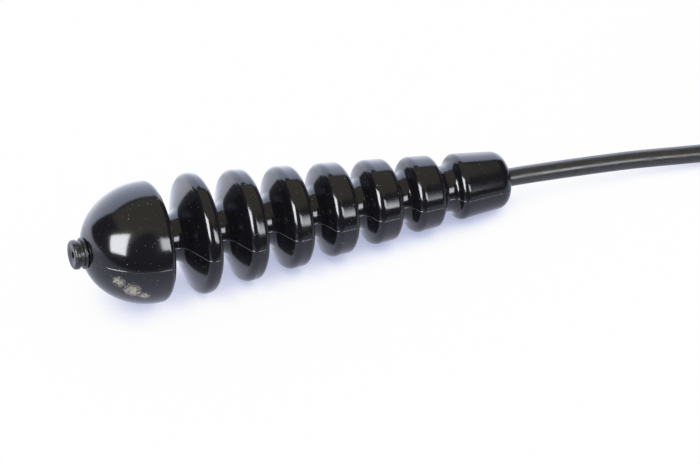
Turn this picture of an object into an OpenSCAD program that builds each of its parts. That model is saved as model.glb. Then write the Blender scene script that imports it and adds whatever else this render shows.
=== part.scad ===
// Air shutter release: a moulded bellows pump, its hose, and the piston end that screws into a camera.
// Millimetres. The handle lies along X, with its dome at -X, and rests on the floor at Z = 0.

/* [Dome] */
// Outer diameter of the dome, which the thumb presses
dome_d = 26.4; // [25.6:0.1:29]
// Length of the dome, from its tip to its flat back
dome_len = 17.7; // [17:0.1:20]
// Length of the straight side in front of the dome's rounded edge
dome_side = 1.4; // [1:0.1:2]
// Radius of the dome's blunt nose
nose_r = 12.4; // [11.8:0.1:12.6]
// Rounding of the edge between the dome and its flat back
dome_edge = 1; // [0.4:0.1:1.6]

/* [Bellows] */
// Thickness of the moulding
wall = 1.2; // [0.8:0.1:1.3]
// Diameter of the first fold, half way along its rim
fold_d = 26.48; // [24:0.02:28]
// How much the rims lose in radius for each millimetre towards the hose
rim_taper = 0.096; // [0.08:0.001:0.1]
// Thickness of each fold at its neck, from the dome to the tail
fold_w = [5.5, 5.9, 6.2, 6.6, 6.7, 6.8];
// Length of the neck in front of each fold, and in front of the tail
fold_gap = [5.1, 4.9, 4.6, 4.1, 3.9, 3.7, 4.2];
// How far the side of a fold that faces the dome leans back, for each millimetre of radius
fold_lean = 0.375; // [0.3:0.005:0.42]
// Rounding of the rim on the side of a fold that faces the dome
fold_front_round = 1.6; // [1.2:0.1:1.8]
// Rounding of the rim on the side of a fold that faces the hose
fold_back_round = 1.3; // [1.2:0.05:1.5]
// Outer diameter of the necks between the folds
neck_d = 10.2; // [9.4:0.1:11]
// Small hollow round where a neck runs into a fold
neck_fillet = 1; // [0.4:0.1:1.2]
// Share of each gap that is left when the dome is pressed home
gap_left = 0.5; // [0.4:0.05:0.8]

/* [Tail] */
// Length of the tail, from its front face to where the hose leaves it
tail_len = 12.4; // [11.4:0.1:16]
// Diameter that the tail's taper runs down to at its end
tail_end_d = 11.6; // [10.8:0.1:13]
// Rounding of the tail's end
tail_round = 3; // [1:0.1:3.4]
// Rounding of the tail's front rim
tail_front_round = 1.2; // [0.6:0.1:1.6]
// Depth of the air space behind the tail's front face
tail_chamber = 4; // [2:0.1:4.5]
// How far the hose is pushed into the tail
hose_grip = 6; // [4:0.1:6.5]
// Diameter of the passage from the air space to the hose
tail_passage_d = 2.6; // [1.5:0.1:3]

/* [Air valve] */
// Diameter of the valve's head, the nub on the dome
nub_d = 6.8; // [6:0.1:8]
// Length of the nub's head
nub_len = 1; // [0.7:0.1:2]
// Diameter of the groove under the nub's head
nub_groove_d = 5.8; // [5.4:0.1:6.4]
// Width of the groove
nub_groove_w = 0.3; // [0.2:0.1:0.8]
// Diameter of the flange that sits on the dome
valve_flange_d = 7.8; // [7:0.1:9]
// Thickness of the flange
valve_flange_t = 0.5; // [0.4:0.1:1]
// Depth of the small flat that is cut in the dome's tip for the flange
valve_flat = 0.5; // [0.4:0.05:0.6]
// Diameter of the valve's stem in the dome's wall
valve_stem_d = 4.8; // [4.4:0.1:5.2]
// How far the valve reaches in behind the dome's wall
valve_inside = 3.4; // [3:0.1:4.5]
// Diameter of the lip that holds the valve in the dome
valve_lip_d = 5.8; // [5.4:0.1:6.6]
// Thickness of that lip
valve_lip_t = 0.8; // [0.5:0.1:1.2]
// Diameter of the inlet hole in the nub's face
inlet_d = 1.6; // [1:0.1:1.9]
// Diameter of the valve's ball
ball_d = 2.4; // [2.2:0.1:2.8]
// Radial room around the ball
ball_room = 0.2; // [0.1:0.05:0.4]
// How far the ball lifts off its seat
ball_lift = 0.5; // [0.2:0.1:0.8]
// Thickness of the cage ring behind the ball
cage_t = 0.8; // [0.5:0.1:1.2]
// Diameter of the hole in the cage ring
cage_hole_d = 1.4; // [0.8:0.1:1.8]

/* [Hose] */
// Outer diameter of the hose
hose_d = 4; // [3.8:0.1:4.2]
// Radial clearance of the hose in the tail and in its ferrule
hose_fit = 0.05; // [0.02:0.01:0.1]
// Turns in the tied hank of spare hose
coil_turns = 13;
// Layers in the hank
coil_layers = 5;
// Length of the straight stretch between the hank's round ends
coil_straight = 67.5; // [60:0.5:80]
// Radius of the round ends at the middle of their turns
coil_mid_r = 13.8; // [13.8:0.1:16]
// Distance between the centres of neighbouring turns
coil_pitch = 4.48; // [4.48:0.01:5]
// Width of the tie around the hank
tie_w = 8; // [4:0.5:12]
// Thickness of the tie
tie_t = 0.5; // [0.4:0.1:0.8]

/* [Camera end] */
// Outer diameter of the cylinder
cyl_d = 9; // [8.6:0.1:10]
// Length of the cylinder
cyl_len = 27; // [25:0.5:34]
// Wall of the cylinder
cyl_wall = 0.9; // [0.6:0.05:1]
// Outer diameter of the hose's ferrule
ferrule_d = 5.6; // [5.2:0.1:6.4]
// Length of the ferrule
ferrule_len = 9; // [7:0.1:12]
// Length of the end cap's spigot inside the ferrule
spigot_len = 1.2; // [0.8:0.1:2]
// Thickness of the end cap's flange
cap_flange_t = 2.6; // [1.5:0.1:4]
// Length of the end cap's plug inside the cylinder
cap_plug_len = 3.6; // [2.5:0.1:5]
// Diameter of the air passage through the end cap
cap_passage_d = 1.8; // [1.2:0.1:2.4]
// Thickness of the seal between the end cap and the cylinder
seal_t = 0.5; // [0.3:0.1:0.8]
// Length of the piston
piston_len = 3; // [2:0.1:4]
// Height of the rubber cup behind the piston
cup_len = 1.8; // [1.2:0.1:2.5]
// Wall of the rubber cup
cup_wall = 0.7; // [0.4:0.1:1]
// Gap between the rubber cup and the end cap at rest
cup_gap = 0.3; // [0.3:0.1:0.6]
// Travel of the plunger
plunger_travel = 8; // [5:0.5:9]
// Diameter of the plunger pin
pin_d = 1.5; // [1.2:0.1:1.8]
// How far the pin stands out of the tip at rest
pin_out = 0.8; // [0.3:0.1:1.5]
// Radial clearance of the piston and of the pin in their bores
slide_fit = 0.05; // [0.02:0.01:0.09]
// Mean diameter of the return spring
spring_d = 4.6; // [4.2:0.1:5]
// Thickness of the spring's wire
spring_wire = 0.5; // [0.4:0.05:0.6]
// Curls in the return spring
spring_curls = 9; // [7:1:10]
// Length of the bush's plug inside the cylinder
bush_plug_len = 3.6; // [2.5:0.1:5]
// Thickness of the bush's flange, which closes the cylinder
bush_flange_t = 1; // [0.6:0.1:2]
// Diameter of the bush's stem, which the collar turns on
stem_d = 4.6; // [4:0.1:5]
// Length of that stem
stem_len = 5; // [4:0.1:7]
// Outer diameter of the knurled collar
collar_d = 11; // [10:0.1:13]
// Length of the knurled collar
collar_len = 8; // [7.5:0.1:11]
// Grooves around the collar
knurl_count = 24;
// Depth of the grooves
knurl_depth = 0.45; // [0.2:0.05:0.6]
// Radial clearance of the collar on its stem
collar_fit = 0.06; // [0.02:0.01:0.09]
// Gap along the axis on each side of the collar's inner flange
collar_gap = 0.15; // [0.1:0.05:0.3]
// Thickness of the collar's inner flange
collar_flange_t = 2.4; // [1.5:0.1:3]
// Outer diameter of the clip that keeps the collar on
clip_d = 6.2; // [5.8:0.1:6.8]
// Thickness of the clip
clip_t = 0.5; // [0.3:0.1:0.8]
// Depth of the clip's groove in the stem
clip_groove = 0.4; // [0.2:0.05:0.6]
// Diameter of the threaded tip at its plain land
tip_d = 4.4; // [4:0.1:5]
// Diameter of the thread at its thin end
tip_end_d = 3.4; // [3.2:0.1:3.8]
// Length of the plain land between collar and thread
tip_land = 1.4; // [1:0.1:2]
// Length of the tapered thread
tip_thread = 5.4; // [4:0.1:7]
// Spacing of the thread's grooves
thread_pitch = 0.6; // [0.5:0.05:0.8]
// Depth of the thread's grooves
thread_depth = 0.25; // [0.15:0.05:0.3]
// Length of the tip's root inside the collar
tip_root = 2.6; // [2:0.1:3]

/* [Hidden] */
$fn = 96;

// Gap between solids that are one moulding on the real object but move apart in the model
soft_gap = 0.3;

function sum(v, n) = n <= 0 ? 0 : v[n - 1] + sum(v, n - 1);
function unit(v) = v / norm(v);

// ---- Stations along the handle, from the dome's tip ----
function front(k) = dome_len + sum(fold_gap, k) + sum(fold_w, k - 1);
function back(k) = k == 0 ? dome_len : front(k) + fold_w[k - 1];
tail_at = front(7);
handle_len = tail_at + tail_len;
press_travel = (1 - gap_left) * sum(fold_gap, 7);
rim_mid = front(1) + fold_w[0] / 2;
function rim_r(s) = fold_d / 2 - rim_taper * (s - rim_mid);
tail_slope = (rim_r(tail_at) - tail_end_d / 2) / tail_len;
bore_r = neck_d / 2 - wall;
// Radius at which a fold's front side starts to lean back, outside its neck's fillet
lean_from = neck_d / 2 + neck_fillet;

// The handle lies on its rims, so its axis falls towards the hose by their taper.
lie = atan(rim_taper);
nub_top = nub_len + nub_groove_w + valve_flange_t - valve_flat;
tail_face_r = tail_end_d / 2 + tail_slope * tail_round - tail_round * sqrt(1 + pow(tail_slope, 2));
handle_low_x = -nub_top * cos(lie) - nub_d / 2 * sin(lie);
handle_high_x = handle_len * cos(lie) + tail_face_r * sin(lie);
handle_x = -(handle_low_x + handle_high_x) / 2;
handle_z = rim_r(0) * cos(lie);
function on_axis(s) = [handle_x + s * cos(lie), 0, handle_z - s * sin(lie)];

// ---- Stations in the air valve ----
valve_back = valve_flat + wall + valve_inside;
chamber_r = ball_d / 2 + ball_room;
seat_drop = sqrt(pow(ball_d / 2, 2) - pow(inlet_d / 2, 2));
cage_front = valve_back - cage_t;
ball_at = cage_front - ball_lift - ball_d / 2;
seat_at = ball_at - seat_drop;

// ---- The hose's route: points on its centre line ----
hose_points = [
    [61.3, -0.4, 5.2], [70.6, -1.1, 4.5], [79.8, -2.1, 3.9], [88.9, -3.5, 3.3],
    [98, -5.1, 2.8], [106, -7.1, 2.5], [113.5, -9.1, 2.4], [120, -10.6, 2.5]];
coil_at = [162.2, 8.6];
hose_r = hose_d / 2;
coil_z = tie_t + 0.1 + hose_r;
layer_turns = coil_turns / coil_layers;
coil_in_r = coil_mid_r - layer_turns * coil_pitch / 2;
coil_out_r = coil_mid_r + layer_turns * coil_pitch / 2;
coil_rings = 24;
coil_top = coil_z + (coil_layers - 1) * coil_pitch + hose_r;
// Share of each half turn that its straight stretch takes
straight_share = 1 / 3;

function smooth(t) = t <= 0 ? 0 : t >= 1 ? 1 : t * t * (3 - 2 * t);
// Radius and height of the hank's centre line after so many turns
function coil_layer(turn) = min(floor(turn / layer_turns), coil_layers - 1);
function coil_r(turn) =
    let (j = coil_layer(turn), t = turn - j * layer_turns)
    j % 2 == 0 ? coil_out_r - coil_pitch * t : coil_in_r + coil_pitch * t;
function climb(turn, j) = smooth((turn - (j * layer_turns - 0.25)) / 0.5);
function coil_h(turn) = coil_z + coil_pitch * sum([for (j = [1:coil_layers - 1]) climb(turn, j)], coil_layers - 1);
// Each half turn runs straight along the hank, then round its end.
function coil_point(turn) =
    let (half = floor(2 * turn), v = 2 * turn - half, way = half % 2 == 0 ? 1 : -1, r = coil_r(turn),
        run = min(v / straight_share, 1), a = 180 * max(0, v - straight_share) / (1 - straight_share))
    [coil_at[0] + way * (coil_straight * (run - 0.5) + r * sin(a)), coil_at[1] - way * r * cos(a), coil_h(turn)];
coil_end = coil_point(coil_turns);
coil_in = unit(coil_point(0.001) - coil_point(0));
coil_out = unit(coil_end - coil_point(coil_turns - 0.001));
coil_line = concat(
    [coil_point(0) - hose_d * coil_in],
    [for (i = [0:coil_turns * coil_rings]) coil_point(i / coil_rings)],
    [coil_end + hose_d * coil_out]);

// ---- The camera end lies along the hank ----
cyl_r = cyl_d / 2;
collar_rest = 0.3;
end_at = [coil_end[0] + 33, coil_end[1] - 1, coil_top + collar_d / 2 + collar_rest];
// Points of the hose's last stretch, from where it comes off the hank
end_points = [[7, 0, 0.6], [12.5, -0.1, 2], [18, -0.3, 3.9], [23, -0.6, 5.7], [28, -0.9, 7.2]];
hose_in_ferrule = ferrule_len - spigot_len;
end_line = concat(
    [coil_end + hose_d * coil_out],
    [for (p = end_points) coil_end + p],
    [end_at, end_at + [hose_in_ferrule, 0, 0]]);
hose_line = concat(
    [on_axis(handle_len - hose_grip), on_axis(handle_len), on_axis(handle_len + hose_d)],
    hose_points,
    [coil_point(0) - hose_d * coil_in]);

// ---- Stations in the camera end, along its axis from the hose side ----
bore_cyl_r = cyl_r - cyl_wall;
flange_at = ferrule_len;
seal_at = flange_at + cap_flange_t;
cyl_at = seal_at + seal_t;
plug_end = seal_at + cap_plug_len;
cup_at = plug_end + cup_gap;
piston_at = cup_at + cup_len;
cyl_end = cyl_at + cyl_len;
bush_at = cyl_end - bush_plug_len;
stem_at = cyl_end + bush_flange_t;
collar_at = stem_at + collar_gap;
clip_at = collar_at + collar_flange_t + collar_gap;
tip_at = collar_at + collar_len;
tip_end = tip_at + tip_land + tip_thread;
pin_end = tip_end + pin_out;
spring_from = piston_at + piston_len;
spring_to = bush_at;
tip_bore_r = pin_d / 2 + slide_fit;

// ---- Lengths and gaps of the hose, printed by echo ----
function length(line) = sum([for (i = [1:len(line) - 1]) norm(line[i] - line[i - 1])], len(line) - 1);
// Least gap between turns: each point of the coil against those more than half a turn further on
turn_gaps = [for (i = [0:len(coil_line) - 1]) for (j = [i + 14:1:len(coil_line) - 1])
    norm(coil_line[i] - coil_line[j])];
spring_pitch = (spring_to - spring_from - spring_wire) / spring_curls;
union() {
    echo(hose_free_mm = length(hose_line) - hose_grip, hose_coil_mm = length(coil_line),
        hose_end_mm = length(end_line));
    echo(coil_least_gap_mm = min(turn_gaps) - hose_d, spring_least_gap_mm = spring_pitch - spring_wire);
    echo(press_travel_mm = press_travel, coil_in_r = coil_in_r, coil_out_r = coil_out_r);
}

// ---- Sweeps ----
function tangent(line, i, first, last) =
    i == 0 ? first : i == len(line) - 1 ? last :
    unit(unit(line[i] - line[i - 1]) + unit(line[i + 1] - line[i]));
function ring(p, t, r, sides) =
    let (side = unit(cross(t, [0, 0, 1])), up = cross(side, t))
    [for (k = [0:sides - 1])
        let (a = (k + 0.5) * 360 / sides)
        p + r * (cos(a) * side + sin(a) * up)];
module tube(line, r, sides, first, last) {
    n = len(line);
    points = [for (i = [0:n - 1]) each ring(line[i], tangent(line, i, first, last), r, sides)];
    walls = [for (i = [0:n - 2]) for (k = [0:sides - 1])
        let (a = i * sides + k, b = i * sides + (k + 1) % sides)
        each [[a, b, a + sides], [b, b + sides, a + sides]]];
    ends = [for (k = [1:sides - 2])
        each [[0, k + 1, k], [(n - 1) * sides, (n - 1) * sides + k, (n - 1) * sides + k + 1]]];
    polyhedron(points, concat(walls, ends));
}

// ---- Places ----
module on_handle() translate([handle_x, 0, handle_z]) rotate([0, 90 + lie, 0]) children();
module on_end() translate(end_at) rotate([0, 90, 0]) children();
// A round between two stations on the local axis
module disc(from, to, r) translate([0, 0, from]) cylinder(h = to - from, r = r);
module hole(from, to, r) disc(from, to, r);

// ---- Profiles: X is the radius, Y the station along the axis ----
// Points of a round corner about a centre, from one angle to another
function corner(c, r, from, to) = [for (i = [0:8]) let (a = from + (to - from) * i / 8) c + r * [cos(a), sin(a)]];
// A tapered rim between two stations, with both its edges rounded. Its front side is flat out to lean_from
// and leans back from there; r is the rim's radius at the first station.
module rim_profile(from, to, r, slope, round_a, round_b) {
    s = sqrt(1 + slope * slope);
    l = sqrt(1 + fold_lean * fold_lean);
    a_r = (r - round_a * s + slope * (fold_lean * lean_from - round_a * l)) / (1 + slope * fold_lean);
    a = [a_r, from + fold_lean * (a_r - lean_from) + round_a * l];
    b = [r - slope * (to - round_b - from) - round_b * s, to - round_b];
    polygon(concat([[0, from], [lean_from, from]],
        corner(a, round_a, atan(fold_lean) - 90, atan(slope)),
        corner(b, round_b, atan(slope), 90), [[0, to]]));
}
// The dome's outline, drawn in by a depth: a blunt nose that runs into a flatter side
module dome_profile(depth) {
    eq = dome_len - dome_edge - dome_side;
    dome_r = dome_d / 2;
    side_r = (pow(eq - nose_r, 2) + pow(dome_r, 2) - pow(nose_r, 2)) / (2 * (dome_r - nose_r));
    c = [dome_r - side_r, eq];
    t = unit([0, nose_r] - c);
    intersection() {
        union() {
            translate([0, nose_r]) circle(nose_r - depth);
            intersection() {
                translate(c) circle(side_r - depth);
                polygon([c, c + t * side_r * 1.2, [dome_d, (c + t * side_r * 1.2)[1]], [dome_d, eq], [0, eq]]);
            }
            translate([0, eq - 0.01]) square([dome_r - depth, dome_side + 0.01]);
            if (depth == 0) {
                translate([0, eq]) square([dome_r - dome_edge, dome_side + dome_edge]);
                translate([dome_r - dome_edge, eq + dome_side]) circle(dome_edge);
            }
        }
        translate([0, depth]) square([dome_d, dome_len - 2 * depth]);
    }
}

// ---- The bellows ----
module bellows_dome() {
    color("#1b1c20") on_handle() difference() {
        rotate_extrude() dome_profile(0);
        rotate_extrude() dome_profile(wall);
        hole(-1, valve_flat, dome_d / 4);
        hole(-1, dome_len / 2, valve_stem_d / 2 + hose_fit);
        hole(dome_len - wall - 1, dome_len + 1, bore_r);
    }
}
module fold(k) {
    a = front(k);
    b = back(k);
    inner = a + wall * sqrt(1 + fold_lean * fold_lean);
    color("#202126") on_handle() rotate_extrude() difference() {
        rim_profile(a, b, rim_r(a), rim_taper, fold_front_round, fold_back_round);
        rim_profile(inner, b - wall, rim_r(inner) - wall, rim_taper,
            max(fold_front_round - wall, 0.05), max(fold_back_round - wall, 0.05));
        translate([0, a - 1]) square([bore_r, b - a + 2]);
    }
}
module neck(k) {
    a = back(k - 1) + soft_gap;
    b = front(k);
    r = neck_d / 2;
    color("#2a2b31") on_handle() rotate_extrude() difference() {
        union() {
            translate([0, a]) square([r, b - a]);
            translate([0, a]) square([r + neck_fillet, neck_fillet]);
            translate([0, b - neck_fillet]) square([r + neck_fillet, neck_fillet]);
        }
        translate([r + neck_fillet, a + neck_fillet]) circle(neck_fillet);
        translate([r + neck_fillet, b - neck_fillet]) circle(neck_fillet);
        translate([0, a - 1]) square([bore_r, b - a + 2]);
    }
}
module bellows_fold_1() { fold(1); }
module bellows_fold_2() { fold(2); }
module bellows_fold_3() { fold(3); }
module bellows_fold_4() { fold(4); }
module bellows_fold_5() { fold(5); }
module bellows_fold_6() { fold(6); }
module bellows_neck_1() { neck(1); }
module bellows_neck_2() { neck(2); }
module bellows_neck_3() { neck(3); }
module bellows_neck_4() { neck(4); }
module bellows_neck_5() { neck(5); }
module bellows_neck_6() { neck(6); }
module bellows_neck_7() { neck(7); }
module bellows_tail() {
    socket = handle_len - hose_grip;
    color("#1b1c20") on_handle() difference() {
        rotate_extrude() rim_profile(tail_at, handle_len, rim_r(tail_at), tail_slope, tail_front_round, tail_round);
        hole(tail_at - 1, tail_at + tail_chamber, bore_r);
        hole(tail_at, socket + 0.01, tail_passage_d / 2);
        hole(socket, handle_len + 1, hose_r + hose_fit);
    }
}

// ---- The air valve in the dome's tip ----
module valve_body() {
    flange_at_s = valve_flat - valve_flange_t;
    head_at = flange_at_s - nub_groove_w - nub_len;
    inner = valve_flat + wall;
    color("#4a4a4c") on_handle() difference() {
        union() {
            disc(head_at, head_at + nub_len, nub_d / 2);
            disc(head_at, flange_at_s + 0.01, nub_groove_d / 2);
            disc(flange_at_s, valve_flat, valve_flange_d / 2);
            disc(valve_flat - 0.01, valve_back, valve_stem_d / 2);
            disc(inner + 0.05, inner + 0.05 + valve_lip_t, valve_lip_d / 2);
        }
        hole(head_at - 1, seat_at + 0.01, inlet_d / 2);
        translate([0, 0, ball_at]) sphere(ball_d / 2 + 0.02);
        hole(ball_at, valve_back + 1, chamber_r);
    }
}
module valve_ball() {
    color("#c9ccd2") on_handle() translate([0, 0, ball_at]) sphere(ball_d / 2);
}
module valve_cage() {
    color("#8a8d92") on_handle() difference() {
        disc(cage_front, valve_back, chamber_r);
        hole(cage_front - 1, valve_back + 1, cage_hole_d / 2);
    }
}

// ---- The hose ----
module hose() {
    ax = [cos(lie), 0, -sin(lie)];
    color("#26262a") tube(hose_line, hose_r, 12, ax, coil_in);
}
module hose_coil() {
    color("#303036") tube(coil_line, hose_r, 6, coil_in, coil_out);
}
module hose_end() {
    color("#26262a") tube(end_line, hose_r, 12, coil_out, [1, 0, 0]);
}
module hose_tie() {
    // The strap goes round the middle of the whole hank.
    gap = 0.3;
    low_y = -coil_out_r - hose_r - gap;
    top = coil_top + gap;
    corner = 3;
    color("#55555a") translate([coil_at[0] - tie_w / 2, coil_at[1], 0]) rotate([90, 0, 90])
    linear_extrude(tie_w) difference() {
        rounded(low_y - tie_t, 0, -low_y + tie_t, top + tie_t, corner + tie_t);
        rounded(low_y, tie_t, -low_y, top, corner);
    }
}
module rounded(x0, y0, x1, y1, r) {
    translate([x0 + r, y0]) square([x1 - x0 - 2 * r, y1 - y0]);
    translate([x0, y0 + r]) square([x1 - x0, y1 - y0 - 2 * r]);
    for (x = [x0 + r, x1 - r])
        for (y = [y0 + r, y1 - r])
            translate([x, y]) circle(r);
}

// ---- The camera end ----
module hose_ferrule() {
    color("#c8c9cc") on_end() difference() {
        disc(0, ferrule_len, ferrule_d / 2);
        hole(-1, ferrule_len + 1, hose_r + hose_fit);
    }
}
module end_cap() {
    color("#b9bbc0") on_end() difference() {
        union() {
            disc(ferrule_len - spigot_len, flange_at + 0.01, hose_r);
            disc(flange_at, seal_at, cyl_r);
            disc(seal_at - 0.01, plug_end, bore_cyl_r);
        }
        hole(ferrule_len - spigot_len - 1, plug_end + 1, cap_passage_d / 2);
    }
}
module cap_seal() {
    color("#333338") on_end() difference() {
        disc(seal_at, cyl_at, cyl_r);
        hole(seal_at - 1, cyl_at + 1, bore_cyl_r);
    }
}
module cylinder_tube() {
    color("#c8c9cc") on_end() difference() {
        disc(cyl_at, cyl_end, cyl_r);
        hole(cyl_at - 1, cyl_end + 1, bore_cyl_r);
    }
}
module piston() {
    // The piston's boss holds the cup and the pin.
    color("#b59a5a") on_end() difference() {
        union() {
            disc(piston_at, spring_from, bore_cyl_r - slide_fit);
            disc(cup_at + cup_wall, piston_at + 0.01, pin_d);
        }
        hole(piston_at + piston_len / 2, spring_from + 1, pin_d / 2);
    }
}
module piston_cup() {
    color("#2e2e33") on_end() difference() {
        disc(cup_at, piston_at, bore_cyl_r - slide_fit);
        hole(cup_at - 1, piston_at - cup_wall, bore_cyl_r - slide_fit - cup_wall);
        hole(cup_at, piston_at + 1, pin_d);
    }
}
module plunger_pin() {
    color("#d4d5d8") on_end() difference() {
        disc(piston_at + piston_len / 2, pin_end, pin_d / 2);
    }
}
module return_spring() {
    n = spring_curls * 8;
    line = [for (i = [0:n])
        let (a = 360 * i / 8)
        [spring_d / 2 * cos(a), spring_d / 2 * sin(a), spring_from + spring_wire / 2 + spring_pitch * i / 8]];
    first = unit(line[1] - line[0]);
    last = unit(line[n] - line[n - 1]);
    color("#dcdde0") on_end() tube(line, spring_wire / 2, 6, first, last);
}
module front_bush() {
    groove_at = clip_at;
    color("#b9bbc0") on_end() difference() {
        union() {
            disc(bush_at, cyl_end + 0.01, bore_cyl_r);
            disc(cyl_end, stem_at, cyl_r);
            disc(stem_at - 0.01, stem_at + stem_len, stem_d / 2);
        }
        hole(bush_at - 1, stem_at + stem_len + 1, tip_bore_r);
        difference() {
            hole(groove_at, groove_at + clip_t, stem_d / 2 + 1);
            hole(groove_at - 1, groove_at + clip_t + 1, stem_d / 2 - clip_groove);
        }
    }
}
module collar_clip() {
    color("#8f9196") on_end() difference() {
        disc(clip_at, clip_at + clip_t, clip_d / 2);
        hole(clip_at - 1, clip_at + clip_t + 1, stem_d / 2 - clip_groove);
    }
}
module knurled_collar() {
    pocket = clip_at - collar_gap;
    color("#d0d1d4") on_end() difference() {
        disc(collar_at, tip_at, collar_d / 2);
        hole(collar_at - 1, pocket + 0.01, stem_d / 2 + collar_fit);
        hole(pocket, tip_at - tip_root, clip_d / 2 + 0.2);
        hole(pocket, tip_at + 1, tip_d / 2 + 0.3);
        for (i = [0:knurl_count - 1])
            rotate([0, 0, i * 360 / knurl_count])
                translate([collar_d / 2, 0, collar_at + 1])
                    cylinder(h = collar_len - 2, r = knurl_depth);
    }
}
module threaded_tip() {
    grooves = floor((tip_thread - thread_pitch / 2) / thread_pitch);
    color("#b59a5a") on_end() difference() {
        rotate_extrude() difference() {
            union() {
                translate([0, tip_at - tip_root]) square([tip_d / 2 + 0.3, tip_root]);
                translate([0, tip_at - 0.01]) square([tip_d / 2, tip_land + 0.01]);
                polygon([[0, tip_at + tip_land - 0.01], [tip_d / 2, tip_at + tip_land - 0.01],
                    [tip_end_d / 2, tip_end], [0, tip_end]]);
            }
            for (i = [0:grooves - 1])
                let (y = tip_at + tip_land + thread_pitch * (i + 0.5),
                    r = tip_d / 2 + (tip_end_d - tip_d) / 2 * (y - tip_at - tip_land) / tip_thread)
                polygon([[r - thread_depth, y], [r + 0.2, y - thread_pitch * 0.45], [r + 0.2, y + thread_pitch * 0.45]]);
        }
        hole(tip_at - tip_root - 1, tip_end + 1, tip_bore_r);
    }
}

bellows_dome();
bellows_neck_1();
bellows_fold_1();
bellows_neck_2();
bellows_fold_2();
bellows_neck_3();
bellows_fold_3();
bellows_neck_4();
bellows_fold_4();
bellows_neck_5();
bellows_fold_5();
bellows_neck_6();
bellows_fold_6();
bellows_neck_7();
bellows_tail();
valve_body();
valve_ball();
valve_cage();
hose();
hose_coil();
hose_end();
hose_tie();
hose_ferrule();
end_cap();
cap_seal();
cylinder_tube();
piston();
piston_cup();
plunger_pin();
return_spring();
front_bush();
knurled_collar();
collar_clip();
threaded_tip();
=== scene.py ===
import math

import bmesh
import bpy
from mathutils import Matrix, Vector


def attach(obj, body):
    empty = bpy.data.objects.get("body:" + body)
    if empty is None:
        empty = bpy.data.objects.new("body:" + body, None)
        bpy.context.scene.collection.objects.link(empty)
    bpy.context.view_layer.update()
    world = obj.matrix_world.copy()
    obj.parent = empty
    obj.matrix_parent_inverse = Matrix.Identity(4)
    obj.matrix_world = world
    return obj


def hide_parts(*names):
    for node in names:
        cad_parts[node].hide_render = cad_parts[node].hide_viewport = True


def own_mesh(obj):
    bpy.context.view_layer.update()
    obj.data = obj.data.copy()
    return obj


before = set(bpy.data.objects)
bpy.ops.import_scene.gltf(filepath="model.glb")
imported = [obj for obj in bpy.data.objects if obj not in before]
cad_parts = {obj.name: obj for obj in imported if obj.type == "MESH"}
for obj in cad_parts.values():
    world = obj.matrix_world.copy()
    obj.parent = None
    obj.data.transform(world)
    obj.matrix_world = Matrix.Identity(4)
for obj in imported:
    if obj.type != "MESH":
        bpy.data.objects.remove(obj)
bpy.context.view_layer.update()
mm = 0.001

# ---- Camera ----
# A long lens about a metre away looks down at the handle from its dome end, over the near side. It is
# level.
lens = bpy.data.cameras.new("camera")
lens.sensor_width = 36
lens.lens = 239
lens.clip_start = 0.01
lens.clip_end = 30
lens.dof.use_dof = False
camera = bpy.data.objects.new("camera", lens)
bpy.context.collection.objects.link(camera)
camera.location = (-0.26442, -0.70816, 0.66502)
camera.rotation_euler = Vector((0.27538, 0.70186, -0.65694)).to_track_quat("-Z", "Y").to_euler()
bpy.context.scene.camera = camera

# ---- Lie of the handle ----
# The handle is a cone of rings that lies on its rims, so its axis falls towards the hose by the same
# slope as the rims. Stations along it are millimetres from the dome's tip.
rim_taper = 0.096
rim_at_tip = 13.24 + rim_taper * 25.55
lie = math.atan(rim_taper)
along = Vector((math.cos(lie), 0, -math.sin(lie)))
handle_tip = Vector((-48.267, 0, rim_at_tip * math.cos(lie))) * mm
on_handle = Matrix.Translation(handle_tip) @ Matrix.Rotation(math.pi / 2 + lie, 4, "Y")
dome_len = 17.7
fold_w = [5.65, 6.05, 6.35, 6.75, 6.85, 6.95]
fold_gap = [4.95, 4.75, 4.45, 3.95, 3.75, 3.55, 4.05]
handle_len = 98.3
tail_len = 12.55


def front(k):
    return dome_len + sum(fold_gap[:k]) + sum(fold_w[:k - 1])


def back(k):
    return dome_len if k == 0 else front(k) + fold_w[k - 1]


def rim_r(s):
    return rim_at_tip - rim_taper * s


def on_axis(s):
    return handle_tip + along * s * mm


# ---- Hose ----
# A 3 m air hose of soft black vinyl, 4 mm thick. It leaves the tail along the handle's axis, sinks to the
# floor and runs into a tied hank of 13 turns in five layers; its end lies along the hank, at the camera end.
hose_r = 2.0
hose_grip = 6.0
coil_at = Vector((162.2, 8.6, 0))
coil_pitch = 4.48
coil_turns = 13
coil_layers = 5
coil_straight = 67.5
coil_mid_r = 13.8
layer_turns = coil_turns / coil_layers
coil_spread = layer_turns * coil_pitch / 2
coil_z = 2.6
coil_top = coil_z + (coil_layers - 1) * coil_pitch + hose_r
straight_share = 1 / 3


def smooth(t):
    t = min(max(t, 0), 1)
    return t * t * (3 - 2 * t)


def coil_point(turn):
    # Each half turn runs straight along the hank, then round its end
    layer = min(int(turn / layer_turns + 1e-9), coil_layers - 1)
    run_in = coil_pitch * (turn - layer * layer_turns) - coil_spread
    r = coil_mid_r - run_in if layer % 2 == 0 else coil_mid_r + run_in
    climbed = sum(smooth((turn - j * layer_turns + 0.25) / 0.5) for j in range(1, coil_layers))
    half = int(2 * turn + 1e-9)
    v = 2 * turn - half
    way = 1 if half % 2 == 0 else -1
    run = min(v / straight_share, 1)
    a = math.pi * max(0, v - straight_share) / (1 - straight_share)
    x = way * (coil_straight * (run - 0.5) + r * math.sin(a))
    return coil_at + Vector((x, -way * r * math.cos(a), coil_z + coil_pitch * climbed))


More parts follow.
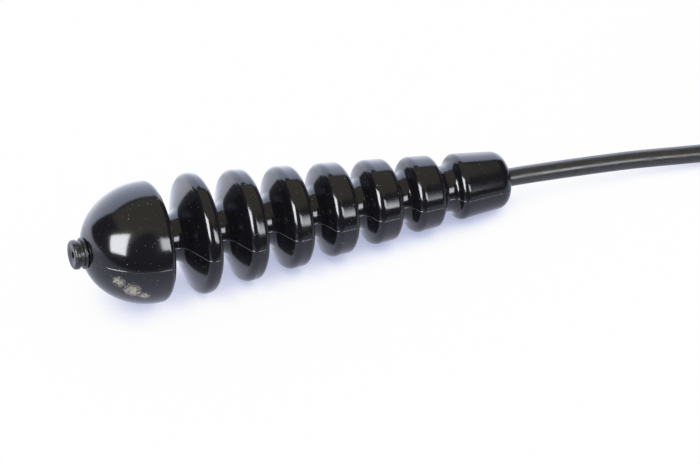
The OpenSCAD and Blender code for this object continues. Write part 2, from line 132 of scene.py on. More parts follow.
def through(points, steps):
    # A smooth line through the points, with so many steps from each to the next
    line = []
    for i in range(len(points) - 1):
        a, b = points[i], points[i + 1]
        into = (b - points[max(i - 1, 0)]) / 2
        away = (points[min(i + 2, len(points) - 1)] - a) / 2
        for k in range(steps):
            t = k / steps
            line.append((2 * t ** 3 - 3 * t ** 2 + 1) * a + (t ** 3 - 2 * t ** 2 + t) * into
                        + (3 * t ** 2 - 2 * t ** 3) * b + (t ** 3 - t ** 2) * away)
    return line + [points[-1]]


coil_steps = 60
coil_line = [coil_point(i / coil_steps) for i in range(coil_turns * coil_steps + 1)]
coil_end = coil_line[-1]
end_at = Vector((coil_end.x + 33, coil_end.y - 1, coil_top + 5.8))
hose_points = [
    (61.3, -0.4, 5.2), (70.6, -1.1, 4.5), (79.8, -2.1, 3.9), (88.9, -3.5, 3.3),
    (98, -5.1, 2.8), (106, -7.1, 2.5), (113.5, -9.1, 2.4), (120, -10.6, 2.5)]
end_points = [(7, 0, 0.6), (12.5, -0.1, 2), (18, -0.3, 3.9), (23, -0.6, 5.7), (28, -0.9, 7.2)]
straight = Vector((4, 0, 0))
hose_in_ferrule = 7.8
first_run = [on_axis(s) / mm for s in (handle_len - hose_grip + 0.2, handle_len, handle_len + straight.x)]
first_run += [Vector(p) for p in hose_points]
first_run += [coil_line[0] - straight, coil_line[0]]
last_run = [coil_end, coil_end + straight] + [coil_end + Vector(p) for p in end_points]
last_run += [end_at, end_at + Vector((hose_in_ferrule, 0, 0))]
route = through(first_run, 6)[:-1] + coil_line[:-1] + through(last_run, 6)
hose_line = bpy.data.curves.new("hose_run", "CURVE")
hose_line.dimensions = "3D"
hose_line.bevel_depth = hose_r * mm
hose_line.bevel_resolution = 6
hose_line.use_fill_caps = True
spline = hose_line.splines.new("POLY")
spline.points.add(len(route) - 1)
for point, p in zip(spline.points, route):
    point.co = (*(p * mm), 1)
hose_run = bpy.data.objects.new("hose_run", hose_line)
bpy.context.collection.objects.link(hose_run)


def new_material(name):
    material = bpy.data.materials.new(name)
    material.use_nodes = True
    nodes, links = material.node_tree.nodes, material.node_tree.links
    nodes.clear()
    surface = nodes.new("ShaderNodeBsdfPrincipled")
    out = nodes.new("ShaderNodeOutputMaterial")
    links.new(surface.outputs["BSDF"], out.inputs["Surface"])
    place = nodes.new("ShaderNodeTexCoord").outputs["Object"]
    return material, nodes, links, surface, place


def noise(nodes, links, place, scale, detail=2.0):
    texture = nodes.new("ShaderNodeTexNoise")
    texture.inputs["Scale"].default_value = scale
    texture.inputs["Detail"].default_value = detail
    links.new(place, texture.inputs["Vector"])
    return texture.outputs["Fac"]


def ramp(nodes, links, value, stops):
    node = nodes.new("ShaderNodeValToRGB")
    while len(node.color_ramp.elements) < len(stops):
        node.color_ramp.elements.new(0.5)
    for element, (position, colour) in zip(node.color_ramp.elements, stops):
        element.position = position
        element.color = (colour, colour, colour, 1) if isinstance(colour, float) else (*colour, 1)
    links.new(value, node.inputs["Fac"])
    return node.outputs["Color"]


def bump(nodes, links, height, distance, under=None):
    node = nodes.new("ShaderNodeBump")
    node.inputs["Strength"].default_value = 1
    node.inputs["Distance"].default_value = distance
    links.new(height, node.inputs["Height"])
    if under is not None:
        links.new(under, node.inputs["Normal"])
    return node.outputs["Normal"]


vinyl, nodes, links, surface, place = new_material("hose vinyl")
links.new(ramp(nodes, links, noise(nodes, links, place, 900, 4), [
    (0.35, (0.012, 0.012, 0.013)), (0.62, (0.022, 0.022, 0.024)), (0.78, (0.05, 0.05, 0.052))]),
    surface.inputs["Base Color"])
links.new(ramp(nodes, links, noise(nodes, links, place, 300, 3), [(0.3, 0.28), (0.7, 0.40)]),
          surface.inputs["Roughness"])
surface.inputs["IOR"].default_value = 1.6
links.new(bump(nodes, links, noise(nodes, links, place, 2500), 0.000004), surface.inputs["Normal"])
hose_line.materials.append(vinyl)
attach(hose_run, "base")
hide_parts("hose", "hose_coil", "hose_end")


# ---- Bellows dome ----
# The blunt end that the palm presses: a hollow moulding of glossy black rubber with a 1.2 mm wall, a flat
# for the valve at its tip and a rounded back rim. It is moulded in one with the necks and folds.
wall = 1.2
bore_r = 3.9
dome_r = 13.2
dome_edge = 1.6
dome_side = 0.8
nose_r = 12.4
nose_tip = 0.9
nose_at = nose_tip + nose_r
flat_at = 1.1
side_at = dome_len - dome_edge - dome_side
side_r = ((side_at - nose_at) ** 2 + dome_r ** 2 - nose_r ** 2) / (2 * (dome_r - nose_r))


def arc(centre, r, start, end, steps=12):
    # Points (radius, station) of an arc, with angles in degrees from the radius towards the station
    angles = [math.radians(start + (end - start) * i / steps) for i in range(steps + 1)]
    return [(centre[0] + r * math.cos(a), centre[1] + r * math.sin(a)) for a in angles]


def braced(outline, room=0.12):
    # The outline with points near both ends of each long straight, so that smooth shading keeps it flat
    points = []
    for a, b in zip(outline, outline[1:] + outline[:1]):
        points.append(a)
        span = math.dist(a, b)
        if span > 5 * room:
            for t in (room / span, 1 - room / span):
                points.append((a[0] + (b[0] - a[0]) * t, a[1] + (b[1] - a[1]) * t))
    return points


def finished(name, bm, place, material, sharp=28):
    bmesh.ops.remove_doubles(bm, verts=bm.verts, dist=0.00001)
    bmesh.ops.recalc_face_normals(bm, faces=bm.faces)
    mesh = bpy.data.meshes.new(name)
    bm.to_mesh(mesh)
    bm.free()
    mesh.transform(place)
    mesh.shade_smooth()
    mesh.set_sharp_from_angle(angle=math.radians(sharp))
    mesh.materials.append(material)
    piece = bpy.data.objects.new(name, mesh)
    bpy.context.collection.objects.link(piece)
    return piece


def turned(name, outline, place, material, steps=128, sharp=28):
    # A closed outline of (radius, station) in millimetres, turned round its axis
    bm = bmesh.new()
    verts = [bm.verts.new((r * mm, 0, s * mm)) for r, s in braced(outline)]
    edges = [bm.edges.new((a, b)) for a, b in zip(verts, verts[1:] + verts[:1])]
    bmesh.ops.spin(bm, geom=verts + edges, cent=(0, 0, 0), axis=(0, 0, 1), angle=math.tau,
                   steps=steps, use_merge=True)
    return finished(name, bm, place, material, sharp)


def fading(nodes, links, value, reach, ease="LINEAR"):
    # 1 where the value is 0, falling to 0 at the reach
    fall = nodes.new("ShaderNodeMapRange")
    fall.interpolation_type = ease
    fall.inputs["From Min"].default_value = 0
    fall.inputs["From Max"].default_value = reach
    fall.inputs["To Min"].default_value = 1
    fall.inputs["To Max"].default_value = 0
    links.new(value, fall.inputs["Value"])
    return fall.outputs["Result"]


def near(nodes, links, place, point, reach):
    # 1 at a point, in millimetres, and 0 at the reach from it
    away = nodes.new("ShaderNodeVectorMath")
    away.operation = "DISTANCE"
    away.inputs[1].default_value = Vector(point) * mm
    links.new(place, away.inputs[0])
    return fading(nodes, links, away.outputs["Value"], reach * mm)


def joined(nodes, links, operation, a, b):
    node = nodes.new("ShaderNodeMath")
    node.operation = operation
    for socket, value in zip(node.inputs, (a, b)):
        if isinstance(value, (int, float)):
            socket.default_value = value
        else:
            links.new(value, socket)
    return node.outputs["Value"]


def moulded_rubber(name, marks):
    # Glossy black moulding: a slow waviness, a fine parting line along both sides, dust, and rubbed marks
    material, nodes, links, surface, place = new_material(name)
    # The two halves of the mould met in a plane through the axis, turned a little from level
    parting = math.radians(10.7)
    rise = Vector((math.sin(lie), 0, math.cos(lie)))
    normal = math.sin(parting) * Vector((0, 1, 0)) + math.cos(parting) * rise
    plane = nodes.new("ShaderNodeVectorMath")
    plane.operation = "DOT_PRODUCT"
    plane.inputs[1].default_value = normal
    links.new(place, plane.inputs[0])
    off = joined(nodes, links, "SUBTRACT", plane.outputs["Value"], handle_tip.dot(normal))
    line = fading(nodes, links, joined(nodes, links, "ABSOLUTE", off, 0), 0.16 * mm, "SMOOTHSTEP")
    dust = ramp(nodes, links, noise(nodes, links, place, 3200, 1), [(0.755, 0.0), (0.80, 1.0)])
    blemish = joined(nodes, links, "MAXIMUM", dust, joined(nodes, links, "MULTIPLY", line, 0.05))
    if marks:
        patches = [near(nodes, links, place, point, reach) for point, reach in marks]
        patch = patches[0]
        for other in patches[1:]:
            patch = joined(nodes, links, "MAXIMUM", patch, other)
        grains = joined(nodes, links, "MULTIPLY", patch, noise(nodes, links, place, 2200, 6))
        rubbed = ramp(nodes, links, grains, [(0.24, 0.0), (0.44, 0.9)])
        blemish = joined(nodes, links, "MAXIMUM", blemish, rubbed)
    links.new(ramp(nodes, links, blemish, [(0.0, (0.009, 0.009, 0.012)), (1.0, (0.42, 0.40, 0.35))]),
              surface.inputs["Base Color"])
    smear = ramp(nodes, links, noise(nodes, links, place, 130, 5), [(0.35, 0.12), (0.75, 0.19)])
    links.new(joined(nodes, links, "MAXIMUM", smear, joined(nodes, links, "MULTIPLY", blemish, 0.6)),
              surface.inputs["Roughness"])
    surface.inputs["IOR"].default_value = 1.5
    slow = bump(nodes, links, noise(nodes, links, place, 70, 1), 0.00022)
    fine = bump(nodes, links, noise(nodes, links, place, 900, 3), 0.0000015, slow)
    seam = bump(nodes, links, line, 0.00006, fine)
    links.new(seam, surface.inputs["Normal"])
    return material


scuff = [((-40.3, -11.3, 11.8), 4.4), ((-43.0, -9.9, 14.0), 3.4), ((-38.0, -12.2, 10.0), 2.8)]
dome_rubber = moulded_rubber("dome rubber", scuff)
side_start = math.degrees(math.atan2(nose_at - side_at, side_r - dome_r))


def dome_outline(depth, low):
    # The dome's section from the flat at its tip to the back: a blunt nose that runs into a flatter side
    reach = math.sqrt((nose_r - depth) ** 2 - (nose_at - low) ** 2)
    start = -math.degrees(math.acos(reach / (nose_r - depth)))
    nose = arc((0, nose_at), nose_r - depth, start, side_start, 40)
    return nose + arc((dome_r - side_r, side_at), side_r - depth, side_start, 0, 30)[1:]


valve_hole_r = 2.42
outer = dome_outline(0, flat_at)
inner = dome_outline(wall, flat_at + wall)
rim = arc((dome_r - dome_edge, dome_len - dome_edge), dome_edge, 0, 90)
dome = turned("bellows_dome_shell", [(valve_hole_r, flat_at)] + outer + rim + [
    (bore_r, dome_len), (bore_r, dome_len - wall), (inner[-1][0], dome_len - wall)
] + inner[::-1] + [(valve_hole_r, flat_at + wall)], on_handle, dome_rubber, 192)
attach(dome, "dome")
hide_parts("bellows_dome")

# ---- Bellows folds ----
# Six hollow discs of the same black rubber, each on its neck, that shrink and thicken towards the tail.
# Their rims follow the handle's own taper, and their front sides lean back from the neck to the rim.
fold_rubber = moulded_rubber("fold rubber", [])
fold_front_round = 1.7
fold_back_round = 1.3
fold_lean = 0.36
neck_r = 5.1
lean_from = 6.1


def rim_outline(a, b, r, slope, round_a, round_b, inside):
    # A tapered rim between two stations, with both edges rounded, from the bore round to the bore. Its
    # front side is flat out to lean_from and leans back from there.
    s = math.hypot(1, slope)
    lean = math.hypot(1, fold_lean)
    tilt = math.degrees(math.atan(slope))
    first_r = (r - round_a * s + slope * (fold_lean * lean_from - round_a * lean)) / (1 + slope * fold_lean)
    first = (first_r, a + fold_lean * (first_r - lean_from) + round_a * lean)
    last = (r - slope * (b - round_b - a) - round_b * s, b - round_b)
    return ([(inside, a), (lean_from, a)] + arc(first, round_a, math.degrees(math.atan(fold_lean)) - 90, tilt)
            + arc(last, round_b, tilt, 90) + [(inside, b)])


for k in range(1, 7):
    a, b = front(k), back(k)
    outline = rim_outline(a, b, rim_r(a), rim_taper, fold_front_round, fold_back_round, bore_r)
    hollow = a + wall * math.hypot(1, fold_lean)
    outline += rim_outline(hollow, b - wall, rim_r(hollow) - wall, rim_taper, fold_front_round - wall,
                           fold_back_round - wall, bore_r)[::-1]
    fold = turned(f"bellows_disc_{k}", outline, on_handle, fold_rubber, 160, 18)
    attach(fold, f"fold_{k}")
    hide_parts(f"bellows_fold_{k}")

# ---- Bellows necks ----
# The narrow waists between the discs: hollow grooves in the same rubber, each turned as one fixed shape;
# on the bellows they fold up on themselves as it closes, to about half their length. They run into the
# disc at each end without an edge.
lean_angle = math.degrees(math.atan(fold_lean))
for k in range(1, 8):
    a, b = back(k - 1), front(k)
    hollow_r = 0.42 * (b - a)
    top = neck_r + hollow_r
    meets = b + fold_lean * (top - lean_from) - hollow_r * math.hypot(1, fold_lean)
    outline = [(bore_r, a)] + arc((top, a + hollow_r), hollow_r, -90, -180)
    outline += arc((top, meets), hollow_r, 180, 90 + lean_angle) + [(bore_r, b)]
    neck = turned(f"bellows_waist_{k}", outline, on_handle, fold_rubber, 96, 18)
    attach(neck, f"fold_{k}" if k < 7 else "base")
    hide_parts(f"bellows_neck_{k}")
    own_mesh(neck)

# ---- Bellows tail ----
# The last, solid moulding: a short cone with a well-rounded end. The hose is gripped in its socket, and
# a narrow passage leads from there to the chamber behind the last neck.
tail_rubber = moulded_rubber("tail rubber", [((50.2, -4.4, 7.2), 1.6)])
tail_at = handle_len - tail_len
tail_end_r = 6.1
tail_slope = (rim_r(tail_at) - tail_end_r) / tail_len
socket_r = hose_r + 0.05
socket_at = handle_len - hose_grip
passage_r = 1.3
chamber_end = tail_at + 4
outline = rim_outline(tail_at, handle_len, rim_r(tail_at), tail_slope, 1.5, 3.0, bore_r)
outline = outline[:-1] + [
    (socket_r, handle_len), (socket_r, socket_at), (passage_r, socket_at),
    (passage_r, chamber_end), (bore_r, chamber_end)]
tail = turned("bellows_tail_cone", outline, on_handle, tail_rubber, 160, 18)
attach(tail, "base")
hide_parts("bellows_tail")

# ---- Air valve ----
# A push-in check valve at the dome's tip: a black rubber plug with a groove behind its round head, rubbed
# dull with use. Behind its small air inlet it holds a steel ball, and its stem snaps into the dome's flat.
worn, nodes, links, surface, place = new_material("worn grey rubber")
links.new(ramp(nodes, links, noise(nodes, links, place, 1400, 5), [
    (0.30, (0.012, 0.012, 0.012)), (0.58, (0.026, 0.026, 0.024)), (0.75, (0.08, 0.08, 0.07))]),
    surface.inputs["Base Color"])
links.new(ramp(nodes, links, noise(nodes, links, place, 700, 3), [(0.3, 0.22), (0.7, 0.38)]),
          surface.inputs["Roughness"])
links.new(bump(nodes, links, noise(nodes, links, place, 1800, 4), 0.00003), surface.inputs["Normal"])
inlet_r = 0.8
groove_r = 2.8
stem_r = 2.4
ball_room_r = 1.65
valve = turned("valve_plug", [
    (inlet_r, -1.25), (1.1, -1.25), (1.5, -1.45), (2.0, -1.56)
] + arc((2.55, -0.95), 0.65, -90, 0) + arc((2.9, -0.55), 0.3, 0, 90, 6) + [
    (groove_r, -0.25), (groove_r, 0.6)
] + arc((3.15, 0.85), 0.25, -90, 0, 5) + [
    (3.4, flat_at), (stem_r, flat_at), (stem_r, 2.35), (2.9, 2.35), (2.9, 3.1), (stem_r, 3.1), (stem_r, 5.1),
    (ball_room_r, 5.1), (ball_room_r, 2.6), (1.22, 2.6), (inlet_r, 1.7)], on_handle, worn, 96)
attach(valve, "dome")
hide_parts("valve_body")

# ---- Tie strap ----
# A black woven strap with a hook-and-loop face, 8 mm wide, that goes once round the middle of the hank.
strap_cloth, nodes, links, surface, place = new_material("strap weave")
weave = nodes.new("ShaderNodeTexWave")
weave.inputs["Scale"].default_value = 350
weave.inputs["Distortion"].default_value = 1.5
weave.bands_direction = "X"
links.new(place, weave.inputs["Vector"])
links.new(ramp(nodes, links, weave.outputs["Fac"], [
    (0.2, (0.012, 0.012, 0.013)), (0.9, (0.035, 0.035, 0.037))]), surface.inputs["Base Color"])
surface.inputs["Roughness"].default_value = 0.85
surface.inputs["Sheen Weight"].default_value = 0.3
links.new(bump(nodes, links, weave.outputs["Fac"], 0.0001), surface.inputs["Normal"])
strap_w = 8.0
strap_t = 0.5
strap_corner = 3.0
strap_reach = coil_mid_r + coil_spread + hose_r + 0.3
strap_top = coil_top + 0.3


def loop_of(x0, z0, x1, z1, r):
    # A rectangle with round corners
    centres = ((x1 - r, z1 - r), (x0 + r, z1 - r), (x0 + r, z0 + r), (x1 - r, z0 + r))
    return [point for i, centre in enumerate(centres) for point in arc(centre, r, 90 * i, 90 * i + 90, 8)]


def skinned(bm, rings, closed=True):
    # Faces from each ring of points to the next, and from the last to the first
    for one, other in zip(rings, rings[1:] + rings[:1] if closed else rings[1:]):
        for i in range(len(one)):
            j = (i + 1) % len(one)
            bm.faces.new((one[i], one[j], other[j], other[i]))


outer_reach = strap_reach + strap_t
outside = loop_of(-outer_reach, 0, outer_reach, strap_top + strap_t, strap_corner + strap_t)
inside = loop_of(-strap_reach, strap_t, strap_reach, strap_top, strap_corner)
half = strap_w / 2
bm = bmesh.new()
rings = [[bm.verts.new((coil_at + Vector((x, y, z))) * mm) for y, z in loop]
         for loop, x in ((outside, half), (outside, -half), (inside, -half), (inside, half))]
skinned(bm, rings)
strap = finished("tie_band", bm, Matrix.Identity(4), strap_cloth)
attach(strap, "base")
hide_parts("hose_tie")

# ---- Camera end ----
# A plated brass cylinder with the hose's ferrule at one end and a free-turning knurled collar with the
# tapered brass screw at the other. Stations are millimetres along +X from the ferrule's mouth.
on_end = Matrix.Translation(end_at * mm) @ Matrix.Rotation(math.pi / 2, 4, "Y")


def metal(name, colour, rough, streak):
    # Turned metal: fine lathe rings across the piece, light scratches and handling marks
    material, nodes, links, surface, place = new_material(name)
    surface.inputs["Metallic"].default_value = 1
    dull = tuple(c * 0.72 for c in colour)
    links.new(ramp(nodes, links, noise(nodes, links, place, 420, 6), [(0.42, dull), (0.58, colour)]),
              surface.inputs["Base Color"])
    links.new(ramp(nodes, links, noise(nodes, links, place, 260, 5), [(0.35, rough), (0.75, rough * 2.2)]),
              surface.inputs["Roughness"])
    stretch = nodes.new("ShaderNodeVectorMath")
    stretch.operation = "MULTIPLY"
    stretch.inputs[1].default_value = (1, 0, 0)
    links.new(place, stretch.inputs[0])
    links.new(bump(nodes, links, noise(nodes, links, stretch.outputs["Vector"], streak, 3), 0.000004),
              surface.inputs["Normal"])
    return material


plating = metal("nickel plate", (0.72, 0.71, 0.69), 0.13, 9000)
brass = metal("turned brass", (0.66, 0.49, 0.23), 0.22, 7000)


def edged(outline, r=0.15):
    # Small rounded breaks on an outline's outer corners
    points = []
    for i, p in enumerate(outline):
        before, after = outline[i - 1], outline[(i + 1) % len(outline)]
        to_before = (before[0] - p[0], before[1] - p[1])
        to_after = (after[0] - p[0], after[1] - p[1])
        one, two = math.hypot(*to_before), math.hypot(*to_after)
        cut = min(r, one / 3, two / 3)
        for t in (0, 0.25, 0.5, 0.75, 1):
            u, v = (1 - t) ** 2 * cut / one, t ** 2 * cut / two
            points.append(tuple(p[n] + to_before[n] * u + to_after[n] * v for n in (0, 1)))
    return points


ferrule_r = 2.8
crimp_r = 2.62
flange_at = 9.0
cylinder_r = 4.5
cylinder_bore_r = 3.6
cylinder_end = 39.1
ferrule = turned("ferrule_sleeve", edged([
    (socket_r, 0), (ferrule_r, 0), (ferrule_r, 1.6), (crimp_r, 1.9), (crimp_r, 2.6), (ferrule_r, 2.9),
    (ferrule_r, 4.1), (crimp_r, 4.4), (crimp_r, 5.1), (ferrule_r, 5.4), (ferrule_r, flange_at),
    (socket_r, flange_at)]), on_end, plating, 64)
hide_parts("hose_ferrule")
cap = turned("cylinder_cap", edged([
    (0.8, hose_in_ferrule), (2.0, hose_in_ferrule), (2.0, flange_at), (cylinder_r, flange_at),
    (cylinder_r, 11.6), (cylinder_bore_r, 11.6), (cylinder_bore_r, 15.2), (0.8, 15.2)]),
    on_end, plating, 64)
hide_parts("end_cap")
barrel = turned("cylinder_barrel", edged([
    (cylinder_bore_r, 12.1), (cylinder_r, 12.1), (cylinder_r, 13.6), (4.38, 13.8), (4.38, 14.2),
    (cylinder_r, 14.4), (cylinder_r, cylinder_end), (cylinder_bore_r, cylinder_end)]),
    on_end, plating, 64)
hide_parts("cylinder_tube")
for piece in (ferrule, cap, barrel):
    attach(piece, "base")

# ---- Knurled collar ----
# The plated collar turns freely on the front bush, with straight knurling for the fingers.
bm = bmesh.new()
grooves = 24
groove_depth = 0.38
collar_r = 5.5
collar_end_r = 4.9
collar_at, collar_end = 40.25, 48.25
collar_bore_r = 2.4
pocket_r = 3.3
pocket_at = 42.7
mouth_at, mouth_r = 45.65, 2.5
# Station, radius, and whether the knurling cuts in there
sections = [
    (collar_at, collar_bore_r, False), (collar_at, collar_end_r, False), (40.6, collar_r, False),
    (41.2, collar_r, False), (41.35, collar_r, True), (47.1, collar_r, True), (47.25, collar_r, False),
    (47.9, collar_r, False), (collar_end, collar_end_r, False), (collar_end, mouth_r, False),
    (mouth_at, mouth_r, False), (mouth_at, pocket_r, False), (pocket_at, pocket_r, False),
    (pocket_at, collar_bore_r, False)]
around = grooves * 8
rings = []
for w, r, cut in sections:
    ring = []
    for i in range(around):
        a = math.tau * i / around
        depth = groove_depth * (0.5 + 0.5 * math.cos(grooves * a)) ** 2 if cut else 0
        ring.append(bm.verts.new(Vector(((r - depth) * math.cos(a), (r - depth) * math.sin(a), w)) * mm))
    rings.append(ring)
skinned(bm, rings)
collar = finished("collar_knurl", bm, on_end, plating)
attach(collar, "collar")
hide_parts("knurled_collar")

# ---- Threaded tip ----
# The tapered brass screw that goes into a camera's release socket, with a fine helical thread, bored
# through for the pin and fixed in the collar's mouth.
bm = bmesh.new()
thread_pitch = 0.6
thread_depth = 0.26
thread_from, tip_end = 49.65, 55.05
thread_len = tip_end - thread_from
land_r = 2.2
point_r = 1.7
pin_hole_r = 0.95
per_turn = 32
levels = 54


def ring_at(w, radius):
    # A ring of points at a station; the radius is a function of the point's number
    ring = []
    for i in range(per_turn):
        a, r = math.tau * i / per_turn, radius(i)
        ring.append(bm.verts.new(Vector((r * math.cos(a), r * math.sin(a), w)) * mm))
    return ring


def threaded(w):
    # The radius round a station of the thread, which fades out at both ends
    base_r = land_r + (point_r - land_r) * (w - thread_from) / thread_len
    fade = smooth((w - thread_from) / 0.5) * smooth((tip_end - w) / 0.5)
    turns = (w - thread_from) / thread_pitch
    return lambda i: base_r - thread_depth * abs((turns - i / per_turn) % 1 - 0.5) * 2 * fade


core = [ring_at(w, lambda i: r) for w, r in (
    (mouth_at, pin_hole_r), (mouth_at, mouth_r), (collar_end, mouth_r), (collar_end, land_r),
    (thread_from, land_r))]
for n in range(1, levels + 1):
    station = thread_from + thread_len * n / levels
    core.append(ring_at(station, threaded(station)))
core.append(ring_at(tip_end, lambda i: pin_hole_r))
skinned(bm, core)
screw = finished("tip_screw", bm, on_end, brass, 50)
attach(screw, "collar")
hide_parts("threaded_tip")

# ---- Return spring ----
# Nine open turns of 0.5 mm steel wire between the piston and the bush, built as one fixed coil. On the
# release it shortens as the piston is blown forwards and drives it home again.
steel = metal("bright steel", (0.62, 0.62, 0.64), 0.16, 5000)
spring_from, spring_to = 20.3, 35.5
wire_r = 0.25
spring_r = 2.3
curls = 9
curl_steps = 32
wire_sides = 10
up = Vector((0, 0, 1))
bm = bmesh.new()
rings = []
for n in range(curls * curl_steps + 1):
    a = math.tau * n / curl_steps
    outward = Vector((math.cos(a), math.sin(a), 0))
    run = (spring_to - spring_from - 2 * wire_r) * n / (curls * curl_steps)
    centre = spring_r * outward + (spring_from + wire_r + run) * up
    sides = [math.tau * i / wire_sides for i in range(wire_sides)]
    rings.append([bm.verts.new((centre + wire_r * (math.cos(b) * outward + math.sin(b) * up)) * mm)
                  for b in sides])
skinned(bm, rings, closed=False)
bm.faces.new(rings[0][::-1])
bm.faces.new(rings[-1])
spring = finished("spring_coil", bm, on_end, steel, 60)
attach(spring, "plunger")
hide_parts("return_spring")
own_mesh(spring)

# ---- Turned and hidden pieces ----
# The pieces whose turned shape is already right keep their own solids and only take a finish.
seal_black, nodes, links, surface, place = new_material("seal rubber")
surface.inputs["Base Color"].default_value = (0.02, 0.02, 0.022, 1)
links.new(ramp(nodes, links, noise(nodes, links, place, 1500, 3), [(0.3, 0.5), (0.7, 0.7)]),
          surface.inputs["Roughness"])
finishes = {
    "valve_ball": steel, "valve_cage": steel, "cap_seal": seal_black, "piston": brass,
    "piston_cup": seal_black, "plunger_pin": steel, "front_bush": plating, "collar_clip": steel}
for node, material in finishes.items():
    solid = bpy.data.objects[node]
    solid.data.materials.clear()
    solid.data.materials.append(material)

# ---- Floor ----
# A white sheet of paper under the handle. Seen directly it is the white background, a white glow with the
# handle's tight contact shadow painted into its colour; in reflections it is a painted reflection, a glow
# that is dark in front of the handle, dim grey near it and bright behind it.
floor_mesh = bpy.data.meshes.new("floor")
bm = bmesh.new()
bmesh.ops.create_grid(bm, x_segments=1, y_segments=1, size=4)
bm.to_mesh(floor_mesh)
bm.free()
floor = bpy.data.objects.new("floor", floor_mesh)
bpy.context.collection.objects.link(floor)
paper = bpy.data.materials.new("white paper")
paper.use_nodes = True
nodes, links = paper.node_tree.nodes, paper.node_tree.links
nodes.clear()
out = nodes.new("ShaderNodeOutputMaterial")
path = nodes.new("ShaderNodeLightPath")


def blended(nodes, links, share, first, second):
    mix = nodes.new("ShaderNodeMixShader")
    if isinstance(share, float):
        mix.inputs["Fac"].default_value = share
    else:
        links.new(share, mix.inputs["Fac"])
    links.new(first, mix.inputs[1])
    links.new(second, mix.inputs[2])
    return mix.outputs["Shader"]


def glow(nodes, colour, strength):
    emission = nodes.new("ShaderNodeEmission")
    emission.inputs["Color"].default_value = (*colour, 1)
    emission.inputs["Strength"].default_value = strength
    return emission


matt = nodes.new("ShaderNodeBsdfDiffuse")
matt.inputs["Color"].default_value = (0.9, 0.9, 0.9, 1)
# Painted shadow: ambient occlusion from the handle turns the white glow's colour lavender grey close under
# and between the rings.
contact = nodes.new("ShaderNodeAmbientOcclusion")
contact.samples = 12
contact.inputs["Distance"].default_value = 0.011
white = glow(nodes, (1, 1, 1), 1.0)
links.new(ramp(nodes, links, contact.outputs["AO"], [
    (0.18, (0.42, 0.45, 0.64)), (0.38, (0.80, 0.83, 0.97)), (0.56, (1.0, 1.0, 1.0))]), white.inputs["Color"])
seen = blended(nodes, links, 0.95, matt.outputs["BSDF"], white.outputs["Emission"])
# Painted reflection and painted shade: glossy rays see the floor as a glow of strength 2.6, its colour graded
# along Y from near black in front of the handle through dim bluish grey around it to bright behind it.
mirrored = glow(nodes, (1, 1, 1), 2.6)
place = nodes.new("ShaderNodeTexCoord").outputs["Object"]
split = nodes.new("ShaderNodeSeparateXYZ")
links.new(place, split.inputs["Vector"])
edge = nodes.new("ShaderNodeMapRange")
edge.inputs["From Min"].default_value = -0.08
edge.inputs["From Max"].default_value = 0.12
links.new(split.outputs["Y"], edge.inputs["Value"])
links.new(ramp(nodes, links, edge.outputs["Result"], [
    (0.0, (0.012, 0.012, 0.015)), (0.12, (0.24, 0.25, 0.31)), (0.45, (0.34, 0.355, 0.44)),
    (0.8, (0.84, 0.88, 1.0))]), mirrored.inputs["Color"])
links.new(blended(nodes, links, path.outputs["Is Glossy Ray"], seen, mirrored.outputs["Emission"]),
          out.inputs["Surface"])
floor_mesh.materials.append(paper)

# ---- Cards ----
# What the gloss mirrors: two windows, the white sweep behind, the ceiling and the dark shape of someone
# in front. They show in reflections only.


def seen_at(azimuth, elevation, distance):
    a, e = math.radians(azimuth), math.radians(elevation)
    return Vector((math.sin(a) * math.cos(e), math.cos(a) * math.cos(e), math.sin(e))) * distance


def card(name, corners, colour, strength):
    mesh = bpy.data.meshes.new(name)
    mesh.from_pydata(corners, [], [tuple(range(len(corners)))])
    material = bpy.data.materials.new(name)
    material.use_nodes = True
    nodes, links = material.node_tree.nodes, material.node_tree.links
    nodes.clear()
    out = nodes.new("ShaderNodeOutputMaterial")
    links.new(glow(nodes, colour, strength).outputs["Emission"], out.inputs["Surface"])
    mesh.materials.append(material)
    piece = bpy.data.objects.new(name, mesh)
    bpy.context.collection.objects.link(piece)
    piece.visible_camera = False
    piece.visible_diffuse = False
    piece.visible_shadow = False
    piece.visible_transmission = False
    piece.visible_volume_scatter = False


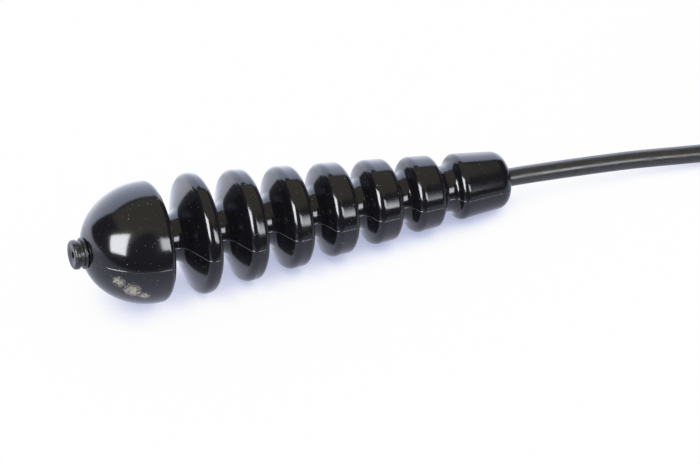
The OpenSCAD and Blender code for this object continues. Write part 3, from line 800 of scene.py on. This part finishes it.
daylight = (0.93, 0.95, 1.0)
card("window_left", [seen_at(a, e, 1.6) for a, e in ((-88, 34), (-125, 52), (-132, 15), (-106, 12))],
     daylight, 20)
card("window_right", [seen_at(a, e, 1.6) for a, e in ((165, 42), (168, 22), (146, 9), (143, 30))],
     daylight, 12)
card("person", [seen_at(a, e, 1.8) for a, e in ((-140, -10), (-170, -10), (168, -10), (168, 40), (175, 57),
                                               (-160, 57), (-142, 48))], (0.5, 0.55, 0.75), 0.08)
card("sweep", [(-0.75, 0.85, 0), (1.15, 0.85, 0), (1.15, 0.95, 1.0), (-0.75, 0.95, 1.0)],
     (0.72, 0.78, 1.0), 3.1)
card("ceiling", [(-2.2, -2.2, 2.6), (2.2, -2.2, 2.6), (2.2, 2.0, 2.6), (-2.2, 2.0, 2.6)],
     (0.90, 0.82, 0.56), 0.55)

# ---- Light ----
# An even room light from all round and one large soft lamp overhead, which is not mirrored.
world = bpy.data.worlds.new("room")
bpy.context.scene.world = world
world.use_nodes = True
nodes, links = world.node_tree.nodes, world.node_tree.links
nodes.clear()
out = nodes.new("ShaderNodeOutputWorld")
path = nodes.new("ShaderNodeLightPath")


def sky(colour, strength):
    background = nodes.new("ShaderNodeBackground")
    background.inputs["Color"].default_value = (*colour, 1)
    background.inputs["Strength"].default_value = strength
    return background.outputs["Background"]


room = blended(nodes, links, path.outputs["Is Glossy Ray"], sky((1, 1, 1), 0.75),
               sky((0.62, 0.62, 0.55), 0.07))
links.new(blended(nodes, links, path.outputs["Is Camera Ray"], room, sky((1, 1, 1), 1)),
          out.inputs["Surface"])
lamp = bpy.data.lights.new("overhead", "AREA")
lamp.shape = "SQUARE"
lamp.size = 1.4
lamp.energy = 9
overhead = bpy.data.objects.new("overhead", lamp)
bpy.context.collection.objects.link(overhead)
overhead.location = (-0.3, -0.2, 1.5)
overhead.rotation_euler = Vector((0.3, 0.2, -1.5)).to_track_quat("-Z", "Y").to_euler()
overhead.visible_glossy = False
bpy.context.scene.view_settings.view_transform = "Standard"
